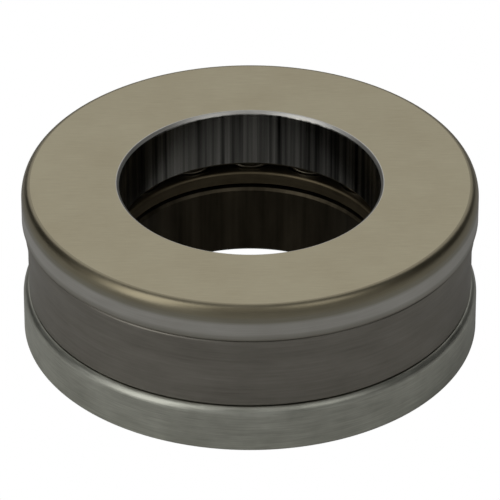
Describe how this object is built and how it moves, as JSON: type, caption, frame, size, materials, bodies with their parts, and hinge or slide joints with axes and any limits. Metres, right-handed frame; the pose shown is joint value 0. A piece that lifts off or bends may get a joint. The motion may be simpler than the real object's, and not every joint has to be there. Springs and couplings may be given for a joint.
{
  "type": "thrust ball bearing",
  "caption": "Banded single-direction thrust ball bearing: grooved upper and lower races, caged balls and a crimped steel band round a plain through bore.",
  "frame": {"origin": "centre of the lower race's bottom face, on the shaft axis", "axes": "+Z along the shaft axis, from the lower race to the upper race"},
  "size_m": [0.0488, 0.0488, 0.018],
  "materials": {
    "ground_steel": "hardened bearing steel, ground faces and turned edges, satin with a faint warm tint",
    "pressed_steel": "pressed steel strip, dark satin",
    "cage_steel": "pressed steel strip, oiled satin",
    "ball_steel": "hardened steel balls, lapped to a mirror"
  },
  "bodies": {
    "lower_assembly": {"lower_race": "ground_steel", "retaining_band": "pressed_steel"},
    "upper_assembly": {"upper_race": "ground_steel"},
    "cage_assembly": {"ball_cage": "cage_steel"},
    "ball_01_body": {"ball_01": "ball_steel"},
    "ball_02_body": {"ball_02": "ball_steel"},
    "ball_03_body": {"ball_03": "ball_steel"},
    "ball_04_body": {"ball_04": "ball_steel"},
    "ball_05_body": {"ball_05": "ball_steel"},
    "ball_06_body": {"ball_06": "ball_steel"},
    "ball_07_body": {"ball_07": "ball_steel"},
    "ball_08_body": {"ball_08": "ball_steel"},
    "ball_09_body": {"ball_09": "ball_steel"},
    "ball_10_body": {"ball_10": "ball_steel"},
    "ball_11_body": {"ball_11": "ball_steel"},
    "ball_12_body": {"ball_12": "ball_steel"},
    "ball_13_body": {"ball_13": "ball_steel"},
    "ball_14_body": {"ball_14": "ball_steel"},
    "ball_15_body": {"ball_15": "ball_steel"},
    "ball_16_body": {"ball_16": "ball_steel"}
  },
  "joints": [
    {"name": "upper_race_spin", "type": "hinge", "parent": "lower_assembly", "child": "upper_assembly", "pos_m": [0, 0, 0.0146], "axis": [0, 0, 1], "continuous": true},
    {"name": "cage_orbit", "type": "hinge", "parent": "lower_assembly", "child": "cage_assembly", "pos_m": [0, 0, 0.00965], "axis": [0, 0, 1], "continuous": true},
    {"name": "ball_01_roll", "type": "hinge", "parent": "cage_assembly", "child": "ball_01_body", "pos_m": [0.01835, 0, 0.00965], "axis": [1, 0, 0], "continuous": true},
    {"name": "ball_02_roll", "type": "hinge", "parent": "cage_assembly", "child": "ball_02_body", "pos_m": [0.01695, 0.00702, 0.00965], "axis": [0.9239, 0.3827, 0], "continuous": true},
    {"name": "ball_03_roll", "type": "hinge", "parent": "cage_assembly", "child": "ball_03_body", "pos_m": [0.01298, 0.01298, 0.00965], "axis": [0.7071, 0.7071, 0], "continuous": true},
    {"name": "ball_04_roll", "type": "hinge", "parent": "cage_assembly", "child": "ball_04_body", "pos_m": [0.00702, 0.01695, 0.00965], "axis": [0.3827, 0.9239, 0], "continuous": true},
    {"name": "ball_05_roll", "type": "hinge", "parent": "cage_assembly", "child": "ball_05_body", "pos_m": [0, 0.01835, 0.00965], "axis": [0, 1, 0], "continuous": true},
    {"name": "ball_06_roll", "type": "hinge", "parent": "cage_assembly", "child": "ball_06_body", "pos_m": [-0.00702, 0.01695, 0.00965], "axis": [-0.3827, 0.9239, 0], "continuous": true},
    {"name": "ball_07_roll", "type": "hinge", "parent": "cage_assembly", "child": "ball_07_body", "pos_m": [-0.01298, 0.01298, 0.00965], "axis": [-0.7071, 0.7071, 0], "continuous": true},
    {"name": "ball_08_roll", "type": "hinge", "parent": "cage_assembly", "child": "ball_08_body", "pos_m": [-0.01695, 0.00702, 0.00965], "axis": [-0.9239, 0.3827, 0], "continuous": true},
    {"name": "ball_09_roll", "type": "hinge", "parent": "cage_assembly", "child": "ball_09_body", "pos_m": [-0.01835, 0, 0.00965], "axis": [-1, 0, 0], "continuous": true},
    {"name": "ball_10_roll", "type": "hinge", "parent": "cage_assembly", "child": "ball_10_body", "pos_m": [-0.01695, -0.00702, 0.00965], "axis": [-0.9239, -0.3827, 0], "continuous": true},
    {"name": "ball_11_roll", "type": "hinge", "parent": "cage_assembly", "child": "ball_11_body", "pos_m": [-0.01298, -0.01298, 0.00965], "axis": [-0.7071, -0.7071, 0], "continuous": true},
    {"name": "ball_12_roll", "type": "hinge", "parent": "cage_assembly", "child": "ball_12_body", "pos_m": [-0.00702, -0.01695, 0.00965], "axis": [-0.3827, -0.9239, 0], "continuous": true},
    {"name": "ball_13_roll", "type": "hinge", "parent": "cage_assembly", "child": "ball_13_body", "pos_m": [0, -0.01835, 0.00965], "axis": [0, -1, 0], "continuous": true},
    {"name": "ball_14_roll", "type": "hinge", "parent": "cage_assembly", "child": "ball_14_body", "pos_m": [0.00702, -0.01695, 0.00965], "axis": [0.3827, -0.9239, 0], "continuous": true},
    {"name": "ball_15_roll", "type": "hinge", "parent": "cage_assembly", "child": "ball_15_body", "pos_m": [0.01298, -0.01298, 0.00965], "axis": [0.7071, -0.7071, 0], "continuous": true},
    {"name": "ball_16_roll", "type": "hinge", "parent": "cage_assembly", "child": "ball_16_body", "pos_m": [0.01695, -0.00702, 0.00965], "axis": [0.9239, -0.3827, 0], "continuous": true}
  ],
  "couplings": [
    {"joint": "cage_orbit", "follows": "upper_race_spin", "ratio": 0.5},
    {"joint": "ball_01_roll", "follows": "upper_race_spin", "ratio": -2.8898},
    {"joint": "ball_02_roll", "follows": "upper_race_spin", "ratio": -2.8898},
    {"joint": "ball_03_roll", "follows": "upper_race_spin", "ratio": -2.8898},
    {"joint": "ball_04_roll", "follows": "upper_race_spin", "ratio": -2.8898},
    {"joint": "ball_05_roll", "follows": "upper_race_spin", "ratio": -2.8898},
    {"joint": "ball_06_roll", "follows": "upper_race_spin", "ratio": -2.8898},
    {"joint": "ball_07_roll", "follows": "upper_race_spin", "ratio": -2.8898},
    {"joint": "ball_08_roll", "follows": "upper_race_spin", "ratio": -2.8898},
    {"joint": "ball_09_roll", "follows": "upper_race_spin", "ratio": -2.8898},
    {"joint": "ball_10_roll", "follows": "upper_race_spin", "ratio": -2.8898},
    {"joint": "ball_11_roll", "follows": "upper_race_spin", "ratio": -2.8898},
    {"joint": "ball_12_roll", "follows": "upper_race_spin", "ratio": -2.8898},
    {"joint": "ball_13_roll", "follows": "upper_race_spin", "ratio": -2.8898},
    {"joint": "ball_14_roll", "follows": "upper_race_spin", "ratio": -2.8898},
    {"joint": "ball_15_roll", "follows": "upper_race_spin", "ratio": -2.8898},
    {"joint": "ball_16_roll", "follows": "upper_race_spin", "ratio": -2.8898}
  ]
}
